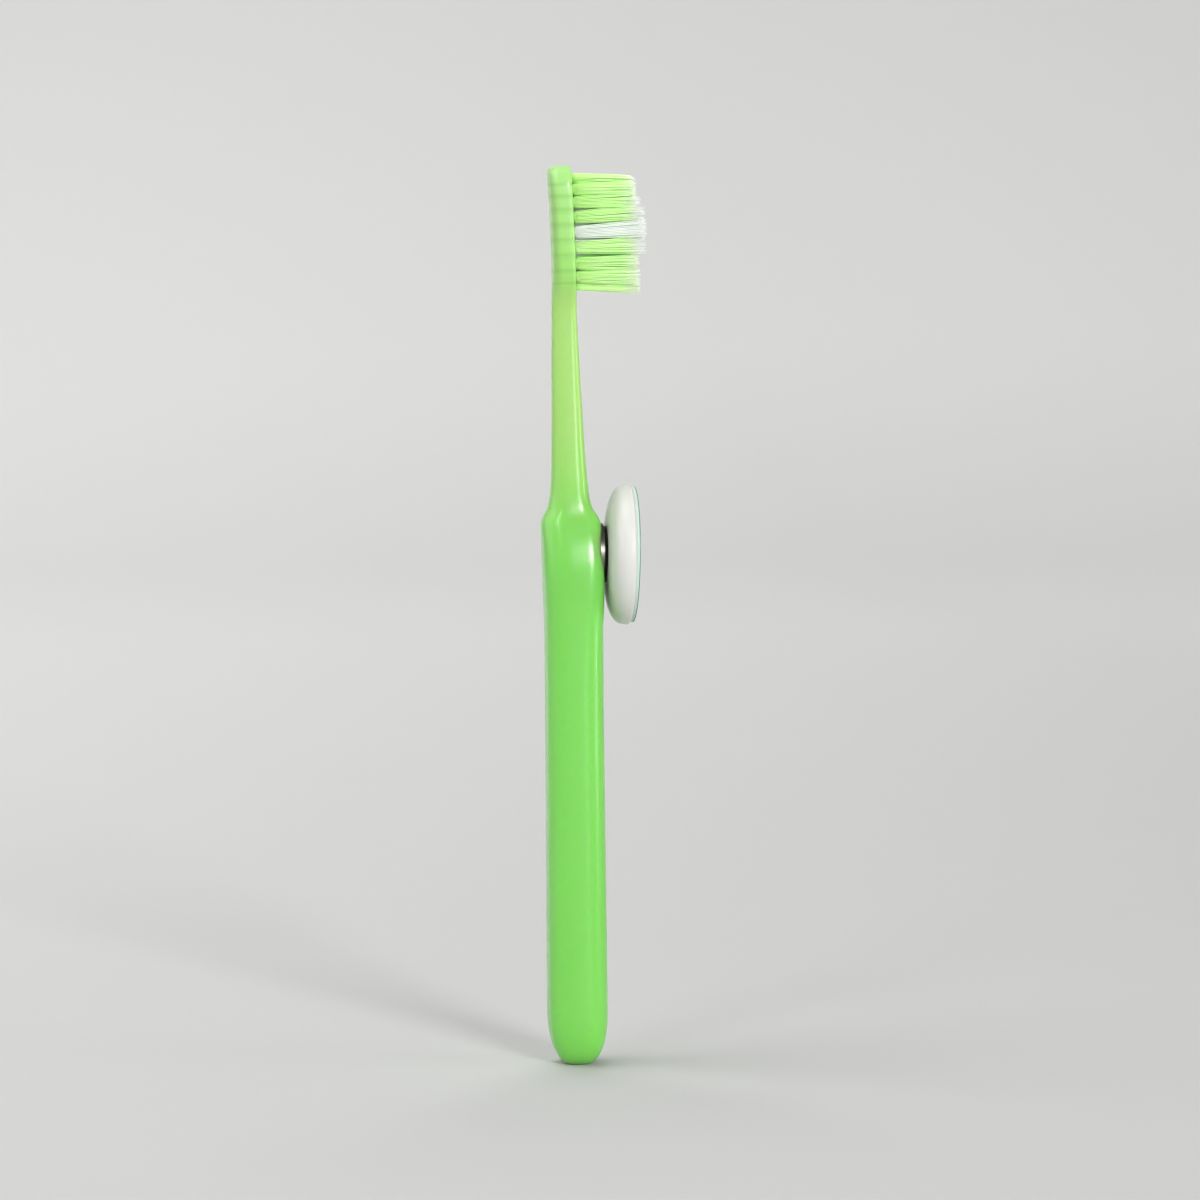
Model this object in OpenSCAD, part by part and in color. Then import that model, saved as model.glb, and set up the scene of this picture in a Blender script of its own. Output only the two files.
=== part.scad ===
// Manual toothbrush with a magnetic wall puck.
// Frame: +Z up the brush, +X the bristle side, Y across; origin at the middle of the butt's flat.

/* [Handle] */
// Length of the grip from the butt to the shoulder
grip_l = 96.5; // [90:0.5:110]
// Thickness of the grip, front to back
grip_t = 10.4; // [9.5:0.1:12]
// Width of the grip, side to side
grip_w = 13.6; // [12.8:0.1:15]
// Height of the rounded butt
butt_h = 10.45; // [8:0.05:12]
// Length of the shoulder, where the grip draws in to the neck
shoulder_l = 7.5; // [6:0.1:10]
// Length of the neck above the shoulder
neck_l = 33.6; // [28:0.1:40]
// Distance from the axis to the back of the neck at the shoulder
neck_back = 3.75; // [3.4:0.05:4.2]
// Distance from the axis to the front of the neck at the shoulder
neck_front = 2.68; // [2.4:0.02:3.2]
// Width of the neck at the shoulder
neck_base_w = 7.2; // [6.4:0.1:8]
// Width of the neck at its waist
neck_w = 5; // [4.6:0.1:6]

/* [Head] */
// Length of the head
head_l = 22.4; // [21:0.1:26]
// Width of the head
head_w = 10; // [9.6:0.1:12]
// Thickness of the head plate
head_t = 3.95; // [3.7:0.05:4.6]
// Distance from the axis to the bristle face at the foot of the head
head_front = 0.93; // [0.7:0.01:1.2]
// Backward lean of the head, in degrees
head_lean = 2.07; // [0:0.01:4]
// Height of the rounded top of the head
crown_h = 5; // [4:0.1:6]
// Edge radius at the top of the head, on its back
back_edge_r = 1.6; // [1.2:0.05:1.8]
// Edge radius at the top of the head, on its bristle face
face_edge_r = 0.7; // [0.4:0.05:0.9]

/* [Bristles] */
// Diameter of a tuft hole
hole_d = 1.6; // [1.4:0.05:1.8]
// Depth of a tuft hole
hole_depth = 2.9; // [2.6:0.05:3.1]
// Height of the green bristles above the head
green_h = 11; // [9:0.1:12]
// Height of the tallest white bristles above the head
white_h = 12.9; // [12:0.1:14]
// Width of a bristle strand across its corners
strand_d = 0.32; // [0.28:0.01:0.34]
// Thickness of the metal anchor in each tuft hole
anchor_t = 0.25; // [0.2:0.01:0.35]
// Height of the metal anchor in each tuft hole
anchor_h = 1.3; // [1:0.05:1.6]

/* [Magnet seat] */
// Height of the disc's centre above the butt
seat_z = 91.1; // [86:0.1:92]
// Distance from the axis to the face of the disc
seat_x = 5.28; // [5.2:0.01:5.5]
// Downward tilt of the disc and the puck, in degrees
seat_tilt = 1.4; // [0:0.1:2]
// Diameter of the steel disc in the grip
disc_d = 11; // [10.5:0.1:11.4]
// Thickness of the steel disc in the grip
disc_t = 2.5; // [2:0.1:3]

/* [Puck] */
// Diameter of the puck
puck_d = 25; // [24:0.1:30]
// Depth of the puck's shell, from its dome to its back
shell_t = 4.55; // [4.5:0.05:6]
// Diameter of the magnet
magnet_d = 10; // [9:0.1:10.4]
// Thickness of the magnet
magnet_t = 2.5; // [2.3:0.05:2.7]
// Height of the magnet proud of the dome
magnet_proud = 0.45; // [0.35:0.05:0.6]
// Diameter of the keeper disc behind the magnet
keeper_d = 12.6; // [12:0.1:14]
// Thickness of the keeper disc behind the magnet
keeper_t = 1.2; // [0.9:0.05:1.3]
// Diameter of the plate that closes the puck's back
plate_d = 21; // [19:0.1:22]
// Thickness of the adhesive pad
pad_t = 0.5; // [0.3:0.05:1]
// Thickness of the release film over the adhesive
film_t = 0.1; // [0.08:0.01:0.2]
// Set-in of the pad's rim from the puck's widest rim
pad_inset = 0.42; // [0.3:0.02:0.8]

/* [Hidden] */

// Colours as they show
green = [0.50, 0.85, 0.37];
pale_green = [0.76, 0.96, 0.60];
white = [0.95, 0.95, 0.93];
steel = [0.78, 0.78, 0.80];
brass = [0.75, 0.62, 0.30];
black = [0.06, 0.06, 0.06];
teal = [0.35, 0.60, 0.50];

// Clearances
glue_gap = 0.02;
turn_gap = 0.05;
trap_gap = 0.1;

// Segments of a full circle, and of a section's corner
round_fn = 96;
corner_steps = 7;
butt_steps = 9;
crown_steps = 9;
dome_steps = 16;

// Heights of the main joints of the outline
shoulder_z = grip_l + shoulder_l;
foot_z = shoulder_z + neck_l;
top_z = foot_z + head_l;

// The butt is a superellipse of this power, cut flat this far above its tip
butt_power = 2.5;
butt_cut = butt_h * 0.043;
butt_start = 16;

// Rows up the grip: height, back, front and width as shares, then the back and front corners
grip_shares = [
    [0.19, 1.000, 1.000, 1.000, 0.76, 0.76],
    [0.34, 0.988, 0.990, 0.992, 0.76, 0.76],
    [0.49, 0.975, 0.980, 0.985, 0.76, 0.76],
    [0.67, 0.965, 0.970, 0.975, 0.76, 0.76],
    [0.80, 0.965, 0.972, 0.985, 0.76, 0.70],
    [0.855, 0.985, 1.000, 1.010, 0.76, 0.60],
    [0.89, 1.008, 1.012, 1.022, 0.76, 0.54],
    [0.92, 1.022, 1.010, 1.006, 0.76, 0.49],
    [0.955, 1.037, 0.985, 0.927, 0.76, 0.47],
    [0.98, 1.064, 0.960, 0.828, 0.76, 0.47],
    [1.00, 1.076, 0.938, 0.720, 0.76, 0.50]
];

// Rows up the shoulder: height, then what is left of the grip's depth and of its width beyond the neck's
shoulder_shares = [
    [0.10, 0.91, 0.755],
    [0.19, 0.79, 0.545],
    [0.28, 0.59, 0.385],
    [0.39, 0.37, 0.235],
    [0.52, 0.225, 0.120],
    [0.76, 0.083, 0.032],
    [1, 0, 0]
];

// Rows up the neck: height, then what is left of its foot's back, front and width, and the head's width
neck_shares = [
    [0.10, 0.75, 0.835, 0.80, 0],
    [0.21, 0.62, 0.700, 0.62, 0],
    [0.42, 0.44, 0.490, 0.36, 0],
    [0.64, 0.34, 0.285, 0.13, 0],
    [0.75, 0.18, 0.180, 0.04, 0],
    [0.85, 0.05, 0.095, 0, 0.01],
    [0.92, 0.04, 0.050, 0, 0.07],
    [0.96, 0.02, 0.03, 0, 0.20],
    [1.00, 0, 0, 0, 0.42]
];

// Rows up the head: height, plate thickness, width, back corner and face corner as shares
head_shares = [
    [0.045, 1.045, 0.62, 0.68, 0.43],
    [0.09, 1.020, 0.78, 0.66, 0.40],
    [0.14, 1.003, 0.89, 0.65, 0.38],
    [0.20, 0.995, 0.965, 0.65, 0.38],
    [0.28, 0.990, 1.000, 0.65, 0.38],
    [0.60, 0.980, 1.000, 0.65, 0.38],
    [0.72, 0.985, 1.000, 0.65, 0.38]
];
head_foot_share = 1.065;
head_crown_share = 1.03;
neck_back_corner = 0.86;
neck_front_corner = 0.62;
neck_end_corner = 0.46;
// The head's back is domed: each of its corners takes this share of the half width
dome_share = 0.92;
crown_power = 2.5;
crown_start = 10;

// Places of the tufts: distance of each row from the head's top as a share of the head's length
row_shares = [0.098, 0.187, 0.290, 0.408, 0.527, 0.647, 0.772, 0.876, 0.950];
// The two inner columns are spaced evenly, so that they close the gaps between the outer ones
inner_row_shares = [0, 0.219, 0.326, 0.433, 0.540, 0.647, 0.746, 0.848, 0];
// Lean of each row in degrees, upward from level
row_leans = [-2.2, -0.3, 1.6, 3.2, 3.0, 1.4, -0.4, -2.0, -2.4];
// Places across the head, as shares of its width
inner_shares = [-0.11, 0.11];
outer_shares = [-0.33, 0.33];
all_shares = [-0.33, -0.11, 0.11, 0.33];
end_shares = [-0.22, 0, 0.22];
// Height of each white row, as a share of the tallest
white_shares = [0, 0, 0.95, 1, 1, 0.995];
// Outward lean of the outer columns and of a tuft's rim, in degrees
side_lean = 1.5;
strand_fan = 1.2;
strand_sides = 4;

// Strand rings of a tuft: how many strands, and the ring's share of the hole's radius
ring_shares = [[3, 0.28], [9, 0.70]];
plug_drop = hole_depth * 0.1;
strand_root = hole_depth * 0.2;
plug_d = hole_d - 2 * glue_gap;
anchor_w = plug_d - 2 * glue_gap;
anchor_lift = hole_depth * 0.12;

// Depths in the puck, measured from the magnet's face
dome_z = magnet_proud;
shell_back = dome_z + shell_t;
keeper_z = magnet_t;
plate_z = keeper_z + keeper_t + trap_gap;
pad_z = shell_back;
film_z = pad_z + pad_t;
dome_depth = shell_t * 0.92;
dome_power = 3;
rim_d = puck_d - 2 * pad_inset;
disc_chamfer = disc_t * 0.08;
magnet_chamfer = magnet_t * 0.06;

function mix(a, b, share) = b + (a - b) * share;

function superellipse(angle, power) = pow(sin(angle), 2 / power);

// Distance from the axis to the bristle face at a height
function face_x(z) = head_front - (z - foot_z) * tan(head_lean);

// Half a head width at a flare share, from the neck's waist to the full head
function flare_w(share) = mix(head_w, neck_w, share) / 2;

// Inset of a rounded edge at a distance from its end
function edge_inset(d, r) = d >= r ? 0 : r - sqrt(r * r - (r - d) * (r - d));

// A section: height, back, front, half width, back corner share, front corner share, how domed the back is
butt_rows = [
    for (i = [0 : butt_steps - 1])
        let (
            angle = butt_start + i * (90 - butt_start) / butt_steps,
            s = superellipse(angle, butt_power),
            z = butt_h * (1 - superellipse(90 - angle, butt_power)) - butt_cut
        )
        [z, s * grip_t / 2, s * grip_t / 2, s * grip_w / 2, 0.76, 0.76, 0]
];

grip_rows = [
    for (r = grip_shares)
        [r[0] * grip_l, r[1] * grip_t / 2, r[2] * grip_t / 2, r[3] * grip_w / 2, r[4], r[5], 0]
];

grip_end = grip_rows[len(grip_rows) - 1];

shoulder_rows = [
    for (r = shoulder_shares)
        [
            grip_l + r[0] * shoulder_l,
            mix(grip_end[1], neck_back, r[1]),
            mix(grip_end[2], neck_front, r[1]),
            mix(grip_end[3], neck_base_w / 2, r[2]),
            mix(grip_end[4], neck_back_corner, r[1]),
            mix(grip_end[5], neck_front_corner, r[1]),
            0
        ]
];

head_back = head_t * head_foot_share - head_front;

neck_rows = [
    for (r = neck_shares)
        [
            shoulder_z + r[0] * neck_l,
            mix(neck_back, head_back, r[1]),
            mix(neck_front, head_front, r[2]),
            mix(neck_base_w / 2, neck_w / 2, r[3]) + flare_w(r[4]) - neck_w / 2,
            neck_back_corner - r[4] * 0.3,
            mix(neck_end_corner, neck_front_corner, r[0]),
            min(1, 2 * r[4])
        ]
];

head_rows = [
    for (r = head_shares)
        let (z = foot_z + r[0] * head_l)
        [z, head_t * r[1] - face_x(z), face_x(z), flare_w(r[2]), r[3], r[4], 1]
];

crown_drop = crown_h * (1 - superellipse(90 - crown_start, crown_power));

crown_rows = [
    for (i = [0 : crown_steps])
        let (
            angle = 90 - i * (90 - crown_start) / crown_steps,
            d = crown_h * (1 - superellipse(90 - angle, crown_power)),
            z = top_z - d + crown_drop,
            t = head_t * mix(1, head_crown_share, d / crown_h)
        )
        [
            z,
            t - face_x(z) - edge_inset(d, back_edge_r),
            face_x(z) - edge_inset(d, face_edge_r),
            superellipse(angle, crown_power) * head_w / 2,
            0.65,
            0.38,
            1
        ]
];

handle_rows = concat(butt_rows, grip_rows, shoulder_rows, neck_rows, head_rows, crown_rows);

// One corner of a section: centre, extents and first angle
function corner(cx, cy, rx, ry, start) = [
    for (k = [0 : corner_steps])
        let (a = start + k * 90 / corner_steps)
        [cx + rx * cos(a), cy + ry * sin(a)]
];

function section(row) =
    let (
        half_t = (row[1] + row[2]) / 2,
        least = min(half_t, row[3]),
        rb = least * row[4],
        rf = least * row[5],
        wb = mix(dome_share * row[3], rb, row[6])
    )
    concat(
        corner(row[2] - rf, row[3] - rf, rf, rf, 0),
        corner(rb - row[1], row[3] - wb, rb, wb, 90),
        corner(rb - row[1], wb - row[3], rb, wb, 180),
        corner(row[2] - rf, rf - row[3], rf, rf, 270)
    );

ring_n = 4 * (corner_steps + 1);

module handle_body() {
    points = [for (row = handle_rows) for (p = section(row)) [p[0], p[1], row[0]]];
    rings = len(handle_rows);
    walls = [
        for (i = [0 : rings - 2])
            for (k = [0 : ring_n - 1])
                let (
                    a = i * ring_n + k,
                    b = i * ring_n + (k + 1) % ring_n
                )
                each [[a, a + ring_n, b], [b, a + ring_n, b + ring_n]]
    ];
    bottom = [for (k = [0 : ring_n - 1]) k];
    top = [for (k = [ring_n - 1 : -1 : 0]) (rings - 1) * ring_n + k];
    polyhedron(points, concat(walls, [bottom, top]));
}

// Puts a child on the bristle face, its +Z along the face's normal
module on_face(row, share) {
    drops = abs(share) == inner_shares[1] ? inner_row_shares : row_shares;
    z = top_z - drops[row - 1] * head_l;
    translate([face_x(z), share * head_w, z])
        rotate([0, 90 - head_lean, 0])
            children();
}

// Puts a child on the disc's face, its +Z along the puck's axis
module on_seat() {
    translate([seat_x, 0, seat_z])
        rotate([0, 90 + seat_tilt, 0])
            children();
}

function row_places(row) = row == 1 || row == 9 ? end_shares : all_shares;

module each_hole() {
    for (row = [1 : 9])
        for (share = row_places(row))
            on_face(row, share)
                children();
}

module handle() {
    color(green)
        difference() {
            handle_body();
            translate([-grip_w, -grip_w, -2 * grip_w])
                cube([2 * grip_w, 2 * grip_w, 2 * grip_w]);
            each_hole()
                translate([0, 0, -hole_depth])
                    cylinder(d = hole_d, h = 2 * hole_depth, $fn = 32);
            on_seat()
                translate([0, 0, -disc_t - glue_gap])
                    cylinder(d = disc_d + 2 * glue_gap, h = 2 * disc_t, $fn = round_fn);
        }
}

module strand(ring_r, angle, height) {
    rotate([0, 0, angle])
        translate([ring_r, 0, -strand_root])
            rotate([0, ring_r / (hole_d / 2) * strand_fan, 0])
                cylinder(d = strand_d, h = height + strand_root, $fn = strand_sides);
}

module tuft_plug() {
    plug_h = hole_depth - glue_gap - plug_drop;
    difference() {
        translate([0, 0, glue_gap - hole_depth])
            cylinder(d = plug_d, h = plug_h, $fn = 32);
        translate([-anchor_t / 2 - glue_gap, -plug_d, -hole_depth])
            cube([anchor_t + 2 * glue_gap, 2 * plug_d, anchor_lift + anchor_h + glue_gap]);
    }
}

module tuft(row, share, height) {
    on_face(row, share)
        union() {
            tuft_plug();
            rotate([-share / outer_shares[1] * side_lean, head_lean - row_leans[row - 1], 0])
                for (ring = ring_shares)
                    for (k = [0 : ring[0] - 1])
                        strand(ring[1] * hole_d / 2, k * 360 / ring[0], height);
        }
}

module tuft_row(row, shares, height) {
    for (share = shares)
        tuft(row, share, height);
}

module green_tufts(row, shares) {
    color(pale_green)
        tuft_row(row, shares, green_h);
}

module white_tufts(row, shares) {
    color(white)
        tuft_row(row, shares, white_h * white_shares[row - 1]);
}

module tuft_anchors() {
    color(brass)
        each_hole()
            translate([-anchor_t / 2, -anchor_w / 2, anchor_lift - hole_depth])
                cube([anchor_t, anchor_w, anchor_h]);
}

// A round disc with its front edge chamfered
module chamfered_disc(d, t, chamfer) {
    rotate_extrude($fn = round_fn)
        polygon([[0, 0], [d / 2 - chamfer, 0], [d / 2, chamfer], [d / 2, t], [0, t]]);
}

module handle_disc() {
    color(steel)
        on_seat()
            mirror([0, 0, 1])
                chamfered_disc(disc_d, disc_t, disc_chamfer);
}

module puck_magnet() {
    color(black)
        on_seat()
            chamfered_disc(magnet_d, magnet_t, magnet_chamfer);
}

module magnet_keeper() {
    color(steel)
        on_seat()
            translate([0, 0, keeper_z])
                cylinder(d = keeper_d, h = keeper_t, $fn = round_fn);
}

// The dome's outline in the plane of its axis
function dome_point(k) =
    let (angle = k * 90 / dome_steps)
    [
        puck_d / 2 * superellipse(angle, dome_power),
        dome_z + dome_depth * (1 - superellipse(90 - angle, dome_power))
    ];

module dome() {
    outline = concat(
        [for (k = [0 : dome_steps]) dome_point(k)],
        [[rim_d / 2, shell_back], [0, shell_back]]
    );
    rotate_extrude($fn = round_fn)
        polygon(outline);
}

module puck_shell() {
    color(white)
        on_seat()
            difference() {
                dome();
                cylinder(d = magnet_d + 2 * turn_gap, h = shell_back, $fn = round_fn);
                translate([0, 0, keeper_z - trap_gap])
                    cylinder(d = keeper_d + 2 * trap_gap, h = shell_back, $fn = round_fn);
                translate([0, 0, plate_z])
                    cylinder(d = plate_d + 2 * glue_gap, h = shell_back, $fn = round_fn);
            }
}

module puck_back_plate() {
    color(white)
        on_seat()
            translate([0, 0, plate_z])
                cylinder(d = plate_d, h = shell_back - plate_z, $fn = round_fn);
}

module adhesive_pad() {
    color(white)
        on_seat()
            translate([0, 0, pad_z])
                cylinder(d = rim_d, h = pad_t, $fn = round_fn);
}

module release_film() {
    color(teal)
        on_seat()
            translate([0, 0, film_z])
                cylinder(d = rim_d, h = film_t, $fn = round_fn);
}

handle();
green_tufts(1, end_shares);  // green_tufts_row_1
green_tufts(2, all_shares);  // green_tufts_row_2
green_tufts(3, outer_shares);  // green_tufts_row_3
green_tufts(4, outer_shares);  // green_tufts_row_4
green_tufts(6, outer_shares);  // green_tufts_row_6
green_tufts(7, all_shares);  // green_tufts_row_7
green_tufts(8, all_shares);  // green_tufts_row_8
green_tufts(9, end_shares);  // green_tufts_row_9
white_tufts(3, inner_shares);  // white_tufts_row_3
white_tufts(4, inner_shares);  // white_tufts_row_4
white_tufts(5, all_shares);  // white_tufts_row_5
white_tufts(6, inner_shares);  // white_tufts_row_6
tuft_anchors();
handle_disc();
puck_magnet();
magnet_keeper();
puck_shell();
puck_back_plate();
adhesive_pad();
release_film();
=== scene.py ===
"""Looks of a manual toothbrush held to its magnetic wall puck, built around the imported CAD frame."""

import math
import random

import bpy
from mathutils import Matrix, Vector


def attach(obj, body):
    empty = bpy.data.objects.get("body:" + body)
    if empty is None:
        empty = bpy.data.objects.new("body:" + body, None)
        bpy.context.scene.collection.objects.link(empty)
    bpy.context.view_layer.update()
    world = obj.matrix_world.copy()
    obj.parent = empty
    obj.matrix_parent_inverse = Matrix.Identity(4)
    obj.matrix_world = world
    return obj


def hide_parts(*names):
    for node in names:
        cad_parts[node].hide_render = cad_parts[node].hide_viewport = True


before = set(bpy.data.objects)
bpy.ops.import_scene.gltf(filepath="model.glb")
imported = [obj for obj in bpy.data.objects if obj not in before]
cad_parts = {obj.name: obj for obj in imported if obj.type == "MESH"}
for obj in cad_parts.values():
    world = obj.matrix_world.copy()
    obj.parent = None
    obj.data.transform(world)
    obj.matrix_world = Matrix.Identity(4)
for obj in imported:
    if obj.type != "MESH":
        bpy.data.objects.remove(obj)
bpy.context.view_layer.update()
scene = bpy.context.scene

# Sizes are in millimetres and angles in degrees, unless a comment says otherwise
MM = 0.001
METRE = 1000

# Main sizes, the same as in the CAD
GRIP_L = 96.5
GRIP_T = 10.4
GRIP_W = 13.6
BUTT_H = 10.45
SHOULDER_L = 7.5
NECK_L = 33.6
NECK_BACK = 3.75
NECK_FRONT = 2.68
NECK_BASE_W = 7.2
NECK_W = 5
HEAD_L = 22.4
HEAD_W = 10
HEAD_T = 3.95
HEAD_FRONT = 0.93
HEAD_LEAN = 2.07
CROWN_H = 5
BACK_EDGE_R = 1.6
FACE_EDGE_R = 0.7
HOLE_D = 1.6
HOLE_DEPTH = 2.9
GREEN_H = 11
WHITE_H = 12.9
ANCHOR_T = 0.25
ANCHOR_FOOT = 2.55
SEAT_Z = 91.1
SEAT_X = 5.28
SEAT_TILT = 1.4
DISC_D = 11
DISC_T = 2.5
PUCK_D = 25
SHELL_T = 4.55
MAGNET_D = 10
MAGNET_T = 2.5
MAGNET_PROUD = 0.45
KEEPER_D = 12.6
KEEPER_T = 1.2
PLATE_D = 21
PAD_T = 0.5
FILM_T = 0.1
RIM_D = 24.16
GLUE_GAP = 0.02
TURN_GAP = 0.05
TRAP_GAP = 0.1

# Heights up the brush, and depths from the steel disc's face, worked out from them
SHOULDER_Z = GRIP_L + SHOULDER_L
FOOT_Z = SHOULDER_Z + NECK_L
TOP_Z = FOOT_Z + HEAD_L
PLATE_Z = MAGNET_T + KEEPER_T + TRAP_GAP
SHELL_BACK = MAGNET_PROUD + SHELL_T
FILM_Z = SHELL_BACK + PAD_T

# Rows up the grip: height, back, front and width as shares, then the back and front corners
GRIP_SHARES = [
    (0.19, 1.000, 1.000, 1.000, 0.76, 0.76),
    (0.34, 0.988, 0.990, 0.992, 0.76, 0.76),
    (0.49, 0.975, 0.980, 0.985, 0.76, 0.76),
    (0.67, 0.965, 0.970, 0.975, 0.76, 0.76),
    (0.80, 0.965, 0.972, 0.985, 0.76, 0.70),
    (0.855, 0.985, 1.000, 1.010, 0.76, 0.60),
    (0.89, 1.008, 1.012, 1.022, 0.76, 0.54),
    (0.92, 1.022, 1.010, 1.006, 0.76, 0.49),
    (0.955, 1.037, 0.985, 0.927, 0.76, 0.47),
    (0.98, 1.064, 0.960, 0.828, 0.76, 0.47),
    (1.00, 1.076, 0.938, 0.720, 0.76, 0.50),
]
# Rows up the shoulder: height, then what is left of the grip's depth and of its width beyond the neck's
SHOULDER_SHARES = [
    (0.10, 0.91, 0.755),
    (0.19, 0.79, 0.545),
    (0.28, 0.59, 0.385),
    (0.39, 0.37, 0.235),
    (0.52, 0.225, 0.120),
    (0.76, 0.083, 0.032),
    (1, 0, 0),
]
# Rows up the neck: height, then what is left of its foot's back, front and width, and the head's width
NECK_SHARES = [
    (0.10, 0.75, 0.835, 0.80, 0),
    (0.21, 0.62, 0.700, 0.62, 0),
    (0.42, 0.44, 0.490, 0.36, 0),
    (0.64, 0.34, 0.285, 0.13, 0),
    (0.75, 0.18, 0.180, 0.04, 0),
    (0.85, 0.05, 0.095, 0, 0.01),
    (0.92, 0.04, 0.050, 0, 0.07),
    (0.96, 0.02, 0.03, 0, 0.20),
    (1.00, 0, 0, 0, 0.42),
]
# Rows up the head: height, plate thickness, width, back corner and face corner as shares
HEAD_SHARES = [
    (0.045, 1.045, 0.62, 0.68, 0.43),
    (0.09, 1.020, 0.78, 0.66, 0.40),
    (0.14, 1.003, 0.89, 0.65, 0.38),
    (0.20, 0.995, 0.965, 0.65, 0.38),
    (0.28, 0.990, 1.000, 0.65, 0.38),
    (0.60, 0.980, 1.000, 0.65, 0.38),
    (0.72, 0.985, 1.000, 0.65, 0.38),
]
# Radii of the sections' corners, as shares of the smaller half of a section
GRIP_CORNER_SHARE = 0.76
NECK_BACK_CORNER_SHARE = 0.86
NECK_FRONT_CORNER_SHARE = 0.62
NECK_END_CORNER_SHARE = 0.46
HEAD_BACK_CORNER_SHARE = 0.65
HEAD_FACE_CORNER_SHARE = 0.38
# How much the neck's back corner shrinks as it flares, and the flare from which the back is domed
FLARE_CORNER_SHARE = 0.3
DOMED_FLARE_SHARE = 0.5
# Thickness of the head plate where the neck meets it and at its top
NECK_END_SHARE = 1.065
TOP_THICK_SHARE = 1.03

# The rounded ends of the handle: the power of their curves and the steps along them
END_POWER = 2.5
END_STEPS = 30
# The butt's curve starts at this angle, and a share of its height is cut off to a flat. The flat's edge is
# softened by a value in square millimetres
BUTT_START = 4
BUTT_CUT_SHARE = 0.043
BUTT_SOFTNESS = 0.03
# Angle from the axis at which the crown's curve ends here, and at which it ends in the CAD
CROWN_END = 3
CAD_CROWN_END = 10

# Where a corner starts to turn, as a share of its radius, and the most of a half section that it takes up
CORNER_REACH_SHARE = 1.25
CORNER_LIMIT_SHARE = 0.98
# What a round corner takes off along each side at its middle, as a share of its radius
ROUND_CUT_SHARE = 0.293
# The power of the curve over a domed back
DOME_POWER = 2.2
CORNER_STEPS = 18
# Points along the flat of a section, as shares of its half
FLAT_SHARES = [-0.6, -0.2, 0.2, 0.6]
# Height between the sections
ROW_STEP = 0.7

# Cutters for the tuft holes and the disc's pocket: sides, and how far they stand out of the handle
HOLE_SIDES = 40
HOLE_OVERRUN = 1.5
POCKET_SIDES = 128
POCKET_OVERRUN = 3

# Distance of each row's tufts from the head's top, and of its two inner ones, and the lean of the row
ROW_SHARES = [0.098, 0.187, 0.290, 0.408, 0.527, 0.647, 0.772, 0.876, 0.950]
INNER_ROW_SHARES = [0, 0.219, 0.326, 0.433, 0.540, 0.647, 0.746, 0.848, 0]
ROW_LEANS = [-2.2, -0.3, 1.6, 3.2, 3.0, 1.4, -0.4, -2.0, -2.4]
# Places across the head, and which of them hold tufts in the rows of each colour
INNER_SHARES = [-0.11, 0.11]
OUTER_SHARES = [-0.33, 0.33]
ALL_SHARES = [-0.33, -0.11, 0.11, 0.33]
END_SHARES = [-0.22, 0, 0.22]
GREEN_ROW_SHARES = {
    1: END_SHARES,
    2: ALL_SHARES,
    3: OUTER_SHARES,
    4: OUTER_SHARES,
    6: OUTER_SHARES,
    7: ALL_SHARES,
    8: ALL_SHARES,
    9: END_SHARES,
}
WHITE_ROW_SHARES = {3: INNER_SHARES, 4: INNER_SHARES, 5: ALL_SHARES, 6: INNER_SHARES}
# Heights of the white rows as shares of the tallest
WHITE_HEIGHT_SHARES = {3: 0.95, 4: 1, 5: 1, 6: 0.995}

# Strands: the two halves of a tuft are lines of strands on either side of the anchor
STRAND_D = 0.15
STRAND_SIDES = 6
STRAND_PITCH = 0.158
STRAND_LINES = 6
# First line and distance between lines, as shares of the pitch
FIRST_LINE_SHARE = 0.433
LINE_SHARE = 0.866
# How far the outermost strands press into the hole's wall, and how far a strand lies off its place
SQUEEZE = 0.02
OFF_PLACE = 0.01
# Thickness of a strand at its tip and at the next points down, as shares of its thickness in the hole
TAPER_SHARES = [0.35, 0.85, 1.2, 1.3, 1.3, 1.3, 1.3, 1.2, 1.1, 1]
# Step between the rows' random seeds
ROW_SEED = 100

# A strand out of its hole: its points lie closer together near the mouth
LIMB_STEPS = 9
LIMB_POWER = 1.6
# The spread that a tuft soon takes on above its mouth, the height that takes, and what it gains to its tips
MOUTH_SPREAD_SHARE = 0.58
MOUTH_SPREAD_H = 0.15
TIP_SPREAD_SHARE = 0.57
# How far the upper and the lower half of a row's tufts spread
ROW_SPREAD_SHARES = {1: (0.25, 1), 2: (0.8, 1), 9: (1, 0.2)}
# Lean of the outer tufts away from the middle of the head
OUTER_LEAN = 1.5
# How far the tips stray sideways, and how much shorter and longer than the tuft the strands are
STRAY = 0.12
STRAY_POWER = 1.6
SHORTEST = -0.9
LONGEST = 0.5
WHITE_SHORTER = 0.4
# How much the first row's rounded corner takes off a tip that lies one hole's width above its tuft
CORNER_TRIM = 7

# A strand in its hole: heights where it is straight and where it starts to turn under the anchor
STRAIGHT_Z = -1.2
TURN_Z = -2.3
FOLD_STEPS = 5
FOLD_POWER = 0.6
# The strands' distance from the anchor's sides and foot, and how much lower the outer strands turn
ANCHOR_SIDE_GAP = 0.01
ANCHOR_FOOT_GAP = 0.02
FOLD_SLOPE_SHARE = 0.25

# Edges sharper than these stay sharp in the shading of solid pieces, and of the bristles and the stage
SHARP_ANGLE = 35
SOFT_ANGLE = 60

# Round pieces: sides of the smaller ones and of the puck's wide ones, and steps round an edge
ROUND_SIDES = 144
WIDE_SIDES = 192
EDGE_STEPS = 6
# A ring that keeps a face flat in its shading, as a share of the face's radius
FLAT_RING_SHARE = 0.97
# Distances below this count as none
NOTHING = 1e-4
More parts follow.
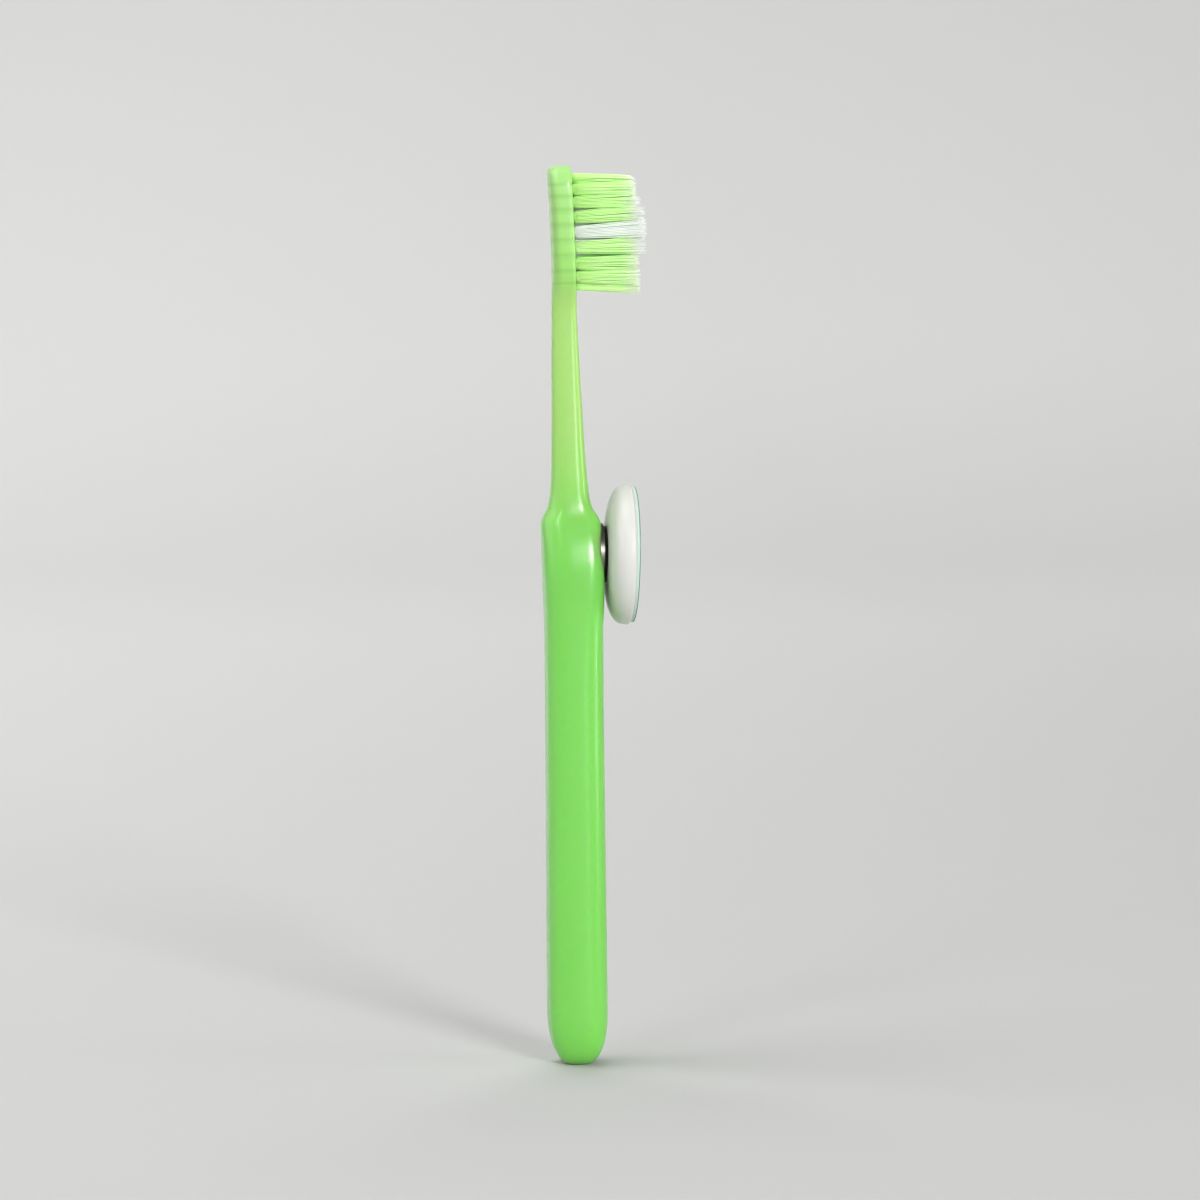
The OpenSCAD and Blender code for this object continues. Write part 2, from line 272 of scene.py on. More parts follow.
# The shell's dome: its power, its depth as a share of the shell's, its steps, and the land at its window
SHELL_POWER = 3
SHELL_DOME_SHARE = 0.92
SHELL_STEPS = 40
WINDOW_LAND = 0.35
WINDOW_SINK = 0.09
# How far back from each piece's corner its rounding starts
PLAIN_EDGE = 0.15
FINE_EDGE = 0.08
DISC_EDGE = 0.1
MAGNET_EDGE = 0.22
KEEPER_EDGE = 0.25
WINDOW_EDGE = 0.22
RIM_EDGE = 0.12
PAD_EDGE = 0.05
FILM_PAD_EDGE = 0.02
FILM_WALL_EDGE = 0.03
FILM_EDGE_STEPS = 3
# How far the pad's edge bulges out between its faces
PAD_BULGE = 0.06

# Colour of the handle at heights up it, each part from 0 to 255
HANDLE_COLOUR_SHARES = [
    (0.0, (120, 199, 86)),
    (0.56, (120, 199, 88)),
    (0.604, (128, 199, 94)),
    (0.65, (147, 200, 104)),
    (0.72, (163, 203, 114)),
    (0.85, (168, 206, 118)),
    (0.875, (160, 210, 116)),
    (1.0, (172, 218, 140)),
]
# Painted shade: the head is painted darker green between its rows of holes, standing in for the holes' shade
# seen through the plastic. How much dark green is mixed in at a row and between rows, how far below a row it
# is darkest, and the stretch at the row that has none
AT_ROW = (0, 0, 0, 1)
SHADE_BETWEEN_ROWS = (0.45, 0.45, 0.45, 1)
DARKEST_SHARE = 0.055
CLEAR_BELOW_SHARE = 0.028
CLEAR_ABOVE_SHARE = 0.012
# How far light goes in the grip's plastic and in the thin head's, before it is scattered
GRIP_SCATTER = 4
HEAD_SCATTER = 1

# The photograph's view: the brush from its side and a little from behind, almost level
CAMERA_AZIMUTH = -5.6
CAMERA_ELEVATION = 4
CAMERA_ROLL = -0.565
CAMERA_AIM = (4.8, 0, 82.9)
SENSOR_W = 36
# In metres: how far off the camera is, how wide its view is there, and what it sees at all
CAMERA_DISTANCE = 0.9
VIEW_W = 0.2136
NEAREST = 0.01
FARTHEST = 30

# The stage in metres: the floor's near edge and half width, and the bend that takes it up to the wall
FLOOR_NEAR = -3
FLOOR_HALF_W = 4
BEND_START = 1.4
BEND_R = 1.5
BEND_STEPS = 24
WALL_TOP = 4
# Places on the stage between which its painted light and shade change
STAGE_LEFT = -220
STAGE_RIGHT = 260
FLOOR_FAR = 1000
SWEEP_TOP = 90
LOW_WALL_Z = 60
HIGH_WALL_Z = 300
# Brightness of the stage at its left and its right, from 0 to 255: painted light and shade, darker to the
# right, towards the camera and up the wall, where the lamps' light falls off
PAINTED_NEAR_FLOOR = (191, 174)
PAINTED_FAR_FLOOR = (198, 186)
PAINTED_LOW_WALL = (200, 191)
PAINTED_HIGH_WALL = (189, 183)
STAGE_MOTTLE = 190

# Brightness of the room's walls at heights from the horizon to straight above, and at its two sides
ROOM_SHARES = [(0, 0.6), (0.3, 0.45), (0.7, 0.13), (1, 0.06)]
ROOM_LEFT = 1.55
ROOM_RIGHT = 0.45
# Lights: name, place, aim, width and height in metres, and power in watts
BRUSH_MIDDLE = (0, 0, 0.09)
LIGHTS = [
    ("key", (0.95, -2.84, 1.18), BRUSH_MIDDLE, 0.7, 0.6, 67),
    ("low key", (0.97, -2.86, 0.44), BRUSH_MIDDLE, 0.5, 0.84, 12),
    ("left softbox", (-0.76, -0.02, 1.72), BRUSH_MIDDLE, 1.15, 1.4, 14),
    ("left side light", (-1.1, 0.25, 0.6), BRUSH_MIDDLE, 1.2, 0.9, 3.6),
    ("right panel", (0.423, -0.154, 0.11), (0, 0, 0.11), 0.16, 0.2, 0.5),
    ("left lamp", (-0.57, -0.91, 0.99), BRUSH_MIDDLE, 0.3, 0.3, 2.2),
    ("backdrop light", (0.1, 1.3, 2.2), (0, 1.9, 0.1), 1.5, 0.8, 39.5),
]


def add_camera():
    azimuth = math.radians(CAMERA_AZIMUTH)
    elevation = math.radians(CAMERA_ELEVATION)
    away = Vector((
        math.sin(azimuth) * math.cos(elevation),
        -math.cos(azimuth) * math.cos(elevation),
        math.sin(elevation),
    ))
    data = bpy.data.cameras.new("camera")
    data.sensor_fit = "HORIZONTAL"
    data.sensor_width = SENSOR_W
    data.lens = SENSOR_W * CAMERA_DISTANCE / VIEW_W
    data.clip_start = NEAREST
    data.clip_end = FARTHEST
    camera = bpy.data.objects.new("camera", data)
    scene.collection.objects.link(camera)
    place = Matrix.Translation(Vector(CAMERA_AIM) * MM + away * CAMERA_DISTANCE)
    turn = away.to_track_quat("Z", "Y").to_matrix().to_4x4()
    roll = Matrix.Rotation(math.radians(CAMERA_ROLL), 4, "Z")
    camera.matrix_world = place @ turn @ roll
    scene.camera = camera


add_camera()


# Sections of the handle

def mix(a, b, share):
    """The share of a, and b for the rest."""
    return b + (a - b) * share


def superellipse(angle, power):
    """Half width of a rounded outline at an angle from its tip, as a share. A power of 2 is a circle."""
    return math.sin(angle) ** (2 / power)


def face_x(z):
    """Distance from the axis to the bristle face at a height."""
    return HEAD_FRONT - (z - FOOT_Z) * math.tan(math.radians(HEAD_LEAN))


def flare_w(share):
    """Half the width, at a share of the way from the neck's width to the head's."""
    return mix(HEAD_W, NECK_W, share) / 2


def edge_inset(d, r):
    """How far an edge of a radius has turned in, at a distance below the end that it runs round."""
    return 0 if d >= r else r - math.sqrt(r * r - (r - d) ** 2)


def crown_rise():
    """How far the crown's curve goes on above the height where the CAD ends it."""
    return CROWN_H * (1 - superellipse(math.radians(90 - CAD_CROWN_END), END_POWER))


def main_rows():
    """Sections between the rounded ends: height, back, front, half width, two corners and the dome."""
    half_t = GRIP_T / 2
    half_w = GRIP_W / 2
    butt_top = BUTT_H * (1 - BUTT_CUT_SHARE)
    rows = [(butt_top, half_t, half_t, half_w, GRIP_CORNER_SHARE, GRIP_CORNER_SHARE, 0)]
    for z, back, front, width, back_corner, front_corner in GRIP_SHARES:
        rows.append((
            z * GRIP_L,
            back * GRIP_T / 2,
            front * GRIP_T / 2,
            width * GRIP_W / 2,
            back_corner,
            front_corner,
            0,
        ))
    end = rows[-1]
    for z, depth, width in SHOULDER_SHARES:
        rows.append((
            GRIP_L + z * SHOULDER_L,
            mix(end[1], NECK_BACK, depth),
            mix(end[2], NECK_FRONT, depth),
            mix(end[3], NECK_BASE_W / 2, width),
            mix(end[4], NECK_BACK_CORNER_SHARE, depth),
            mix(end[5], NECK_FRONT_CORNER_SHARE, depth),
            0,
        ))
    head_back = HEAD_T * NECK_END_SHARE - HEAD_FRONT
    for z, back, front, width, flare in NECK_SHARES:
        rows.append((
            SHOULDER_Z + z * NECK_L,
            mix(NECK_BACK, head_back, back),
            mix(NECK_FRONT, HEAD_FRONT, front),
            mix(NECK_BASE_W / 2, NECK_W / 2, width) + flare_w(flare) - NECK_W / 2,
            NECK_BACK_CORNER_SHARE - flare * FLARE_CORNER_SHARE,
            mix(NECK_END_CORNER_SHARE, NECK_FRONT_CORNER_SHARE, z),
            min(1, flare / DOMED_FLARE_SHARE),
        ))
    for share, thick, width, back_corner, face_corner in HEAD_SHARES:
        z = FOOT_Z + share * HEAD_L
        rows.append((z, HEAD_T * thick - face_x(z), face_x(z), flare_w(width), back_corner, face_corner, 1))
    z = TOP_Z - CROWN_H + crown_rise()
    corners = (HEAD_BACK_CORNER_SHARE, HEAD_FACE_CORNER_SHARE)
    rows.append((z, HEAD_T - face_x(z), face_x(z), HEAD_W / 2, *corners, 1))
    return rows


def slopes(heights, values):
    """Slopes of a curve through the values that starts level and never overshoots them."""
    steps = []
    for i in range(len(heights) - 1):
        steps.append((values[i + 1] - values[i]) / (heights[i + 1] - heights[i]))
    result = [0]
    for before, after in zip(steps, steps[1:]):
        flat = before * after <= 0
        result.append(0 if flat else 2 * before * after / (before + after))
    result.append(steps[-1])
    return result


def smooth_rows(rows):
    """Rows at close heights along smooth curves through the given rows."""
    heights = [row[0] for row in rows]
    columns = list(zip(*rows))[1:]
    bends = [slopes(heights, column) for column in columns]
    result = []
    for i in range(len(heights) - 1):
        length = heights[i + 1] - heights[i]
        count = max(2, round(length / ROW_STEP))
        for k in range(count):
            t = k / count
            row = [heights[i] + t * length]
            for column, bend in zip(columns, bends):
                a = (1 + 2 * t) * (1 - t) ** 2 * column[i] + t * t * (3 - 2 * t) * column[i + 1]
                b = t * (1 - t) ** 2 * bend[i] - t * t * (1 - t) * bend[i + 1]
                row.append(a + b * length)
            result.append(row)
    result.append(list(rows[-1]))
    return result


def butt_rows():
    """Sections of the rounded butt, from the flat that it stands on."""
    rows = []
    sweep = 90 - BUTT_START
    for i in range(END_STEPS):
        angle = math.radians(BUTT_START + sweep * i / END_STEPS)
        s = superellipse(angle, END_POWER)
        z = BUTT_H * (1 - superellipse(math.pi / 2 - angle, END_POWER)) - BUTT_H * BUTT_CUT_SHARE
        soft_z = (z + math.sqrt(z * z + BUTT_SOFTNESS)) / 2
        extents = (s * GRIP_T / 2, s * GRIP_T / 2, s * GRIP_W / 2)
        rows.append([soft_z, *extents, GRIP_CORNER_SHARE, GRIP_CORNER_SHARE, 0])
    return rows


def crown_rows():
    """Sections of the rounded top of the head."""
    rows = []
    sweep = 90 - CROWN_END
    for i in range(1, END_STEPS + 1):
        angle = math.radians(90 - sweep * i / END_STEPS)
        d = CROWN_H * (1 - superellipse(math.pi / 2 - angle, END_POWER))
        z = TOP_Z - d + crown_rise()
        t = HEAD_T * mix(1, TOP_THICK_SHARE, d / CROWN_H)
        back = t - face_x(z) - edge_inset(d, BACK_EDGE_R)
        front = face_x(z) - edge_inset(d, FACE_EDGE_R)
        half_w = superellipse(angle, END_POWER) * HEAD_W / 2
        rows.append([z, back, front, half_w, HEAD_BACK_CORNER_SHARE, HEAD_FACE_CORNER_SHARE, 1])
    return rows


def corner(r, half_t, half_w, dome=0):
    """Extents and power of a corner that turns in smoothly and cuts off as much as a round one."""
    widest = CORNER_LIMIT_SHARE * half_w
    along_x = min(CORNER_REACH_SHARE * r, CORNER_LIMIT_SHARE * half_t)
    along_y = min(CORNER_REACH_SHARE * r, widest)
    power = math.log(2) / -math.log(1 - ROUND_CUT_SHARE * r / min(along_x, along_y))
    # On a domed back the corners meet in the middle
    return along_x, mix(widest, along_y, dome), mix(DOME_POWER, power, dome)


def section(row):
    """The outline of one section, anticlockwise seen from above, from the front towards +Y."""
    z, back, front, half_w, back_corner, front_corner, dome = row
    half_t = (back + front) / 2
    least = min(half_t, half_w)
    front_x, front_y, front_power = corner(least * front_corner, half_t, half_w)
    back_x, back_y, back_power = corner(least * back_corner, half_t, half_w, dome)
    angles = [k * math.pi / 2 / CORNER_STEPS for k in range(CORNER_STEPS + 1)]
    side = []
    for angle in angles:
        x = front - front_x + front_x * superellipse(math.pi / 2 - angle, front_power)
        y = half_w - front_y + front_y * superellipse(angle, front_power)
        side.append((x, y))
    for angle in angles:
        x = back_x - back - back_x * superellipse(angle, back_power)
        y = half_w - back_y + back_y * superellipse(math.pi / 2 - angle, back_power)
        side.append((x, y))
    outline = [(front, share * side[0][1]) for share in FLAT_SHARES]
    outline += side
    outline += [(-back, -share * side[-1][1]) for share in FLAT_SHARES]
    outline += [(x, -y) for x, y in reversed(side)]
    return [(x, y, z) for x, y in outline]


# Solids

def make_object(name, points, faces):
    """A mesh object from points in millimetres."""
    mesh = bpy.data.meshes.new(name)
    mesh.from_pydata([(x * MM, y * MM, z * MM) for x, y, z in points], [], faces)
    mesh.update()
    obj = bpy.data.objects.new(name, mesh)
    scene.collection.objects.link(obj)
    return obj


def shade(obj, sharp_degrees=SHARP_ANGLE):
    """Smooth shading, broken at edges sharper than the angle."""
    mesh = obj.data
    mesh.polygons.foreach_set("use_smooth", [True] * len(mesh.polygons))
    mesh.set_sharp_from_angle(angle=math.radians(sharp_degrees))
    mesh.update()


def loft(name, rings):
    """A closed solid through rings of equal point counts, with flat caps."""
    n = len(rings[0])
    points = [p for ring in rings for p in ring]
    faces = []
    for i in range(len(rings) - 1):
        for k in range(n):
            a = i * n + k
            b = i * n + (k + 1) % n
            faces.append((a, b, b + n, a + n))
    faces.append(tuple(range(n - 1, -1, -1)))
    faces.append(tuple(range((len(rings) - 1) * n, len(rings) * n)))
    return make_object(name, points, faces)


def cylinder_points(place, radius, low, high, sides):
    """Points and faces of a closed cylinder in a frame."""
    points = []
    for z in (low, high):
        for k in range(sides):
            angle = 2 * math.pi * k / sides
            points.append(place @ Vector((radius * math.cos(angle), radius * math.sin(angle), z)))
    faces = [(k, (k + 1) % sides, (k + 1) % sides + sides, k + sides) for k in range(sides)]
    faces.append(tuple(range(sides - 1, -1, -1)))
    faces.append(tuple(range(sides, 2 * sides)))
    return points, faces


def cut(obj, cutters):
    """Takes the cutters' solids out of obj."""
    points = []
    faces = []
    for more_points, more_faces in cutters:
        start = len(points)
        points += more_points
        faces += [tuple(start + i for i in face) for face in more_faces]
    cutter = make_object("cutter", points, faces)
    modifier = obj.modifiers.new("cut", "BOOLEAN")
    modifier.operation = "DIFFERENCE"
    modifier.solver = "EXACT"
    modifier.object = cutter
    bpy.context.view_layer.update()
    shaped = obj.evaluated_get(bpy.context.evaluated_depsgraph_get())
    mesh = bpy.data.meshes.new_from_object(shaped)
    obj.modifiers.clear()
    obj.data = mesh
    bpy.data.objects.remove(cutter)


def on_face(row, share):
    """Frame of a tuft hole: its origin in the hole's mouth, its Z along the face's normal."""
    drops = INNER_ROW_SHARES if share in INNER_SHARES else ROW_SHARES
    z = TOP_Z - drops[row - 1] * HEAD_L
    place = Matrix.Translation((face_x(z), share * HEAD_W, z))
    return place @ Matrix.Rotation(math.radians(90 - HEAD_LEAN), 4, "Y")


# Frame of the puck: its origin in the middle of the steel disc's face, its Z out of the grip
SEAT = Matrix.Translation((SEAT_X, 0, SEAT_Z)) @ Matrix.Rotation(math.radians(90 + SEAT_TILT), 4, "Y")


def build_handle():
    """The moulding from butt to crown, with its tuft holes and the disc's pocket."""
    rows = butt_rows() + smooth_rows(main_rows()) + crown_rows()
    handle = loft("green_handle", [section(row) for row in rows])
    last = len(ROW_SHARES)
    cutters = []
    for row in range(1, last + 1):
        places = END_SHARES if row in (1, last) else ALL_SHARES
        for share in places:
            place = on_face(row, share)
            cutters.append(cylinder_points(place, HOLE_D / 2, -HOLE_DEPTH, HOLE_OVERRUN, HOLE_SIDES))
    floor = -DISC_T - GLUE_GAP
    cutters.append(cylinder_points(SEAT, DISC_D / 2 + GLUE_GAP, floor, POCKET_OVERRUN, POCKET_SIDES))
    cut(handle, cutters)
    shade(handle)
    return handle


# Round pieces

def round_corners(corners, steps=EDGE_STEPS):
    """A closed profile whose corners (radius, depth, rounding) are drawn round."""
    result = []
    count = len(corners)
    for i, (r, d, rounding) in enumerate(corners):
        here = Vector((r, d))
        if not rounding:
            result.append((r, d))
            continue
        before = Vector(corners[i - 1][:2])
        after = Vector(corners[(i + 1) % count][:2])
        start = here + (before - here).normalized() * rounding
        end = here + (after - here).normalized() * rounding
        for k in range(steps + 1):
            t = k / steps
            point = start * (1 - t) ** 2 + here * 2 * t * (1 - t) + end * t * t
            result.append((point.x, point.y))
    return result


def hold_flats(profile):
    """The profile with one more ring near the edge of each face that reaches the axis.

    The rounding's smooth shading then ends at that ring, and the face shades flat.
    """
    result = []
    count = len(profile)
    for i, (r, d) in enumerate(profile):
        result.append((r, d))
        next_r, next_d = profile[(i + 1) % count]
        if abs(next_d - d) < NOTHING and (r < NOTHING) != (next_r < NOTHING):
            result.append((FLAT_RING_SHARE * max(r, next_r), d))
    return result


def revolve(name, profile, sides=ROUND_SIDES):
    """A solid of revolution about the puck's axis, from a closed profile of (radius, depth)."""
    points = []
    rings = []
    for r, d in hold_flats(profile):
        start = len(points)
        if r < NOTHING:
            points.append(SEAT @ Vector((0, 0, d)))
            rings.append([start] * sides)
            continue
        for k in range(sides):
            angle = 2 * math.pi * k / sides
            points.append(SEAT @ Vector((r * math.cos(angle), r * math.sin(angle), d)))
        rings.append(list(range(start, start + sides)))
    faces = []
    for i, low in enumerate(rings):
        high = rings[(i + 1) % len(rings)]
        if low[0] == low[1] and high[0] == high[1]:
            continue
        for k in range(sides):
            face = []
            for index in (low[k], low[(k + 1) % sides], high[(k + 1) % sides], high[k]):
                if index not in face:
                    face.append(index)
            faces.append(tuple(face))
    obj = make_object(name, points, faces)
    shade(obj)
    return obj


def revolve_disc(name, d, low, high, low_edge, high_edge):
    """A plain round piece between two depths, with both edges rounded."""
    r = d / 2
    corners = [(0, low, 0), (r, low, low_edge), (r, high, high_edge), (0, high, 0)]
    return revolve(name, round_corners(corners))


def build_disc():
    return revolve_disc("plated_steel_disc", DISC_D, -DISC_T, 0, PLAIN_EDGE, DISC_EDGE)


def build_magnet():
    return revolve_disc("black_magnet", MAGNET_D, 0, MAGNET_T, MAGNET_EDGE, PLAIN_EDGE)


def build_keeper():
    back = MAGNET_T + KEEPER_T
    return revolve_disc("zinc_keeper", KEEPER_D, MAGNET_T, back, KEEPER_EDGE, FINE_EDGE)


def build_plate():
    return revolve_disc("white_back_plate", PLATE_D, PLATE_Z, SHELL_BACK, PLAIN_EDGE, PLAIN_EDGE)


def build_shell():
    """The dome, from the magnet's window round the rim to its back, and its stepped inside."""
    dome = []
    depth = SHELL_T * SHELL_DOME_SHARE
    for k in range(SHELL_STEPS + 1):
        angle = math.radians(90 * k / SHELL_STEPS)
        r = PUCK_D / 2 * superellipse(angle, SHELL_POWER)
        d = MAGNET_PROUD + depth * (1 - superellipse(math.pi / 2 - angle, SHELL_POWER))
        if r > MAGNET_D / 2 + WINDOW_LAND:
            dome.append((r, d, 0))
    window = MAGNET_D / 2 + TURN_GAP
    pocket = KEEPER_D / 2 + TRAP_GAP
    mouth = PLATE_D / 2 + GLUE_GAP
    lip = MAGNET_T - TRAP_GAP
    corners = [
        (window, MAGNET_PROUD + WINDOW_SINK, WINDOW_EDGE),
        *dome,
        (RIM_D / 2, SHELL_BACK, RIM_EDGE),
        (mouth, SHELL_BACK, FINE_EDGE),
        (mouth, PLATE_Z, 0),
        (pocket, PLATE_Z, 0),
        (pocket, lip, 0),
        (window, lip, FINE_EDGE),
    ]
    return revolve("white_puck_shell", round_corners(corners), WIDE_SIDES)


def build_pad():
    r = RIM_D / 2
    corners = [
        (0, SHELL_BACK, 0),
        (r - PAD_BULGE, SHELL_BACK, PAD_EDGE),
        (r, SHELL_BACK + PAD_T / 2, PLAIN_EDGE),
        (r - PAD_BULGE, FILM_Z, PAD_EDGE),
        (0, FILM_Z, 0),
    ]
    return revolve("mint_adhesive_pad", round_corners(corners), WIDE_SIDES)


def build_film():
    r = RIM_D / 2
    back = FILM_Z + FILM_T
    corners = [(0, FILM_Z, 0), (r, FILM_Z, FILM_PAD_EDGE), (r, back, FILM_WALL_EDGE), (0, back, 0)]
    return revolve("tinted_release_film", round_corners(corners, FILM_EDGE_STEPS), WIDE_SIDES)


# Bristles

def strand_spots(rng):
    """Places in a hole's mouth of the strands of one half of a tuft, packed closely."""
    spots = []
    for i in range(STRAND_LINES):
        x = STRAND_PITCH * (FIRST_LINE_SHARE + i * LINE_SHARE)
        shift = (i % 2) * STRAND_PITCH / 2
        for k in range(-STRAND_LINES, STRAND_LINES + 1):
            y = k * STRAND_PITCH + shift
            if math.hypot(x, y) < HOLE_D / 2 - STRAND_D / 2 + SQUEEZE:
                spots.append((x, y + rng.uniform(-OFF_PLACE, OFF_PLACE)))
    return spots


def trim(row, up):
    """What the first row's rounded corner takes off a strand whose tip is this far above its tuft."""
    if row != 1 or up < 0:
        return 0
    return CORNER_TRIM * (up / HOLE_D) ** 2


def fan(height, length):
    """How far the strands of a tuft have spread at a height, as a share of their spacing in the hole."""
    at_mouth = MOUTH_SPREAD_SHARE * (1 - math.exp(-height / MOUTH_SPREAD_H))
    return at_mouth + TIP_SPREAD_SHARE * height / length


def limb(place, lean, x, y, length, spread, stray):
    """Points of a strand from the mouth of its hole to its tip."""
    points = []
    for i in range(LIMB_STEPS + 1):
        height = length * (i / LIMB_STEPS) ** LIMB_POWER
        part = height / length
        grown = fan(height, GREEN_H)
        # In the hole's frame -X is up the head
        along = grown * (spread[0] if x < 0 else spread[1])
        local = Vector((
            x * (1 + along) + stray[0] * part ** STRAY_POWER,
            y * (1 + grown) + stray[1] * part ** STRAY_POWER,
            height,
        ))
        points.append(place @ (lean @ local))
    return points


def fold(place, mouth_x, y):
    """Points of a strand's turn under the anchor, from one half of the tuft to the other."""
    least = ANCHOR_T / 2 + STRAND_D / 2 + ANCHOR_SIDE_GAP
    x = least + mouth_x * (HOLE_D / 2 - STRAND_D / 2 - least) / (HOLE_D / 2)
    deepest = -ANCHOR_FOOT - STRAND_D / 2 - ANCHOR_FOOT_GAP - (x - least) * FOLD_SLOPE_SHARE
    local = [(x, STRAIGHT_Z), (x, TURN_Z)]
    for i in range(1, FOLD_STEPS):
        angle = math.pi * i / FOLD_STEPS
        local.append((x * math.cos(angle), TURN_Z + (deepest - TURN_Z) * math.sin(angle) ** FOLD_POWER))
    local += [(-x, TURN_Z), (-x, STRAIGHT_Z)]
    return [place @ Vector((across, y, z)) for across, z in local]


def tube(path, side, radius, points, faces):
    """Adds a strand that thins to its tips along a path to the lists."""
    count = len(path)
    first = len(points)
    for i, here in enumerate(path):
        before = path[max(i - 1, 0)]
        after = path[min(i + 1, count - 1)]
        along = (after - before).normalized()
        across = (side - along * side.dot(along)).normalized()
        third = along.cross(across)
        from_tip = min(i, count - 1 - i)
        r = radius * TAPER_SHARES[min(from_tip, len(TAPER_SHARES) - 1)]
        for k in range(STRAND_SIDES):
            angle = 2 * math.pi * k / STRAND_SIDES
            points.append(here + across * (r * math.cos(angle)) + third * (r * math.sin(angle)))
    for i in range(count - 1):
        for k in range(STRAND_SIDES):
            a = first + i * STRAND_SIDES + k
            b = first + i * STRAND_SIDES + (k + 1) % STRAND_SIDES
            faces.append((a, b, b + STRAND_SIDES, a + STRAND_SIDES))
    last = first + (count - 1) * STRAND_SIDES
    faces.append(tuple(range(first + STRAND_SIDES - 1, first - 1, -1)))
    faces.append(tuple(range(last, last + STRAND_SIDES)))


def build_tufts(name, row, shares, length):
    """The tufts of one row and colour: strands folded under the anchor, with both ends out of the hole."""
    rng = random.Random(ROW_SEED * row + len(name))
    spread = ROW_SPREAD_SHARES.get(row, (1, 1))
    tilt = Matrix.Rotation(math.radians(HEAD_LEAN - ROW_LEANS[row - 1]), 4, "Y")
    points = []
    faces = []
    for share in shares:
        place = on_face(row, share)
        side = place.to_3x3() @ Vector((0, 1, 0))
        outwards = math.radians(-share / OUTER_SHARES[1] * OUTER_LEAN)
        lean = tilt @ Matrix.Rotation(outwards, 4, "X")
        for x, y in strand_spots(rng):
            ends = []
            for sign in (1, -1):
                stray = (rng.gauss(0, STRAY), rng.gauss(0, STRAY))
                up = -(sign * x + stray[0])
                cut_length = length + rng.uniform(SHORTEST, LONGEST) - trim(row, up)
                ends.append(limb(place, lean, sign * x, y, cut_length, spread, stray))
            path = ends[0][::-1] + fold(place, x, y) + ends[1]
            tube(path, side, STRAND_D / 2, points, faces)
    tufts = make_object(name, points, faces)
    shade(tufts, SOFT_ANGLE)
    return tufts


# Materials

def new_material(name):
    material = bpy.data.materials.new(name)
    material.use_nodes = True
    shader = next(n for n in material.node_tree.nodes if n.type == "BSDF_PRINCIPLED")
    return material, shader


def tune(shader, values):
    """Sets a shader's inputs by their names."""
    for name, value in values.items():
        shader.inputs[name].default_value = value


def linear(r, g, b):
    """A colour given as it shows on a screen, from 0 to 255, turned to linear light."""
    result = []
    for value in (r, g, b):
        v = value / 255
        result.append(v / 12.92 if v <= 0.04045 else ((v + 0.055) / 1.055) ** 2.4)
    return (*result, 1)


class Nodes:
    """Short ways to add the nodes that the materials and the room share."""

    def __init__(self, owner):
        self.tree = owner.node_tree

    def link(self, a, b):
        self.tree.links.new(a, b)

    def place(self, scale=(1, 1, 1)):
        """The piece's own coordinates in millimetres, stretched by a scale."""
        coordinates = self.tree.nodes.new("ShaderNodeTexCoord")
        mapping = self.tree.nodes.new("ShaderNodeMapping")
        mapping.inputs["Scale"].default_value = [s / MM for s in scale]
        self.link(coordinates.outputs["Object"], mapping.inputs["Vector"])
        return mapping.outputs["Vector"]

    def noise(self, vector, scale, detail, roughness=0.5):
        node = self.tree.nodes.new("ShaderNodeTexNoise")
        tune(node, {"Scale": scale, "Detail": detail, "Roughness": roughness})
        self.link(vector, node.inputs["Vector"])
        return node.outputs["Fac"]

    def ramp(self, value, stops):
        """Colours at places from 0 to 1."""
        node = self.tree.nodes.new("ShaderNodeValToRGB")
        elements = node.color_ramp.elements
        while len(elements) < len(stops):
            elements.new(0.5)
        for element, (position, colour) in zip(elements, stops):
            element.position = position
            element.color = colour
        self.link(value, node.inputs["Fac"])
        return node.outputs["Color"]

    def span(self, value, low, high):
        """Turns 0 to 1 into a range of numbers."""
        node = self.tree.nodes.new("ShaderNodeMapRange")
        tune(node, {"To Min": low, "To Max": high})
        self.link(value, node.inputs["Value"])
        return node.outputs["Result"]

    def along(self, vector, axis, low, high):
        """How far along an axis a point is, as 0 to 1 between two places."""
        split = self.tree.nodes.new("ShaderNodeSeparateXYZ")
        node = self.tree.nodes.new("ShaderNodeMapRange")
        tune(node, {"From Min": low, "From Max": high})
        self.link(vector, split.inputs["Vector"])
        self.link(split.outputs[axis], node.inputs["Value"])
        return node.outputs["Result"]

    def blend(self, share, a, b):
        """The colour a, with a share of b."""
        node = self.tree.nodes.new("ShaderNodeMix")
        node.data_type = "RGBA"
        self.link(share, node.inputs["Factor"])
        for socket, value in (("A", a), ("B", b)):
            target = next(i for i in node.inputs if i.name == socket and i.type == "RGBA")
            if isinstance(value, tuple):
                target.default_value = value
            else:
                self.link(value, target)
        return next(o for o in node.outputs if o.type == "RGBA")

    def bump(self, height, strength, depth):
        node = self.tree.nodes.new("ShaderNodeBump")
        tune(node, {"Strength": strength, "Distance": depth * MM})
        self.link(height, node.inputs["Height"])
        return node.outputs["Normal"]


def painted_row_shade():
    """Stops of a ramp up the head for its painted shade: none at a row of holes, most between rows."""
    stops = []
    for share in reversed(ROW_SHARES):
        darkest = 1 - share - DARKEST_SHARE
        if darkest > 0:
            stops.append((darkest, SHADE_BETWEEN_ROWS))
        stops += [(1 - share - CLEAR_BELOW_SHARE, AT_ROW), (1 - share + CLEAR_ABOVE_SHARE, AT_ROW)]
    return stops


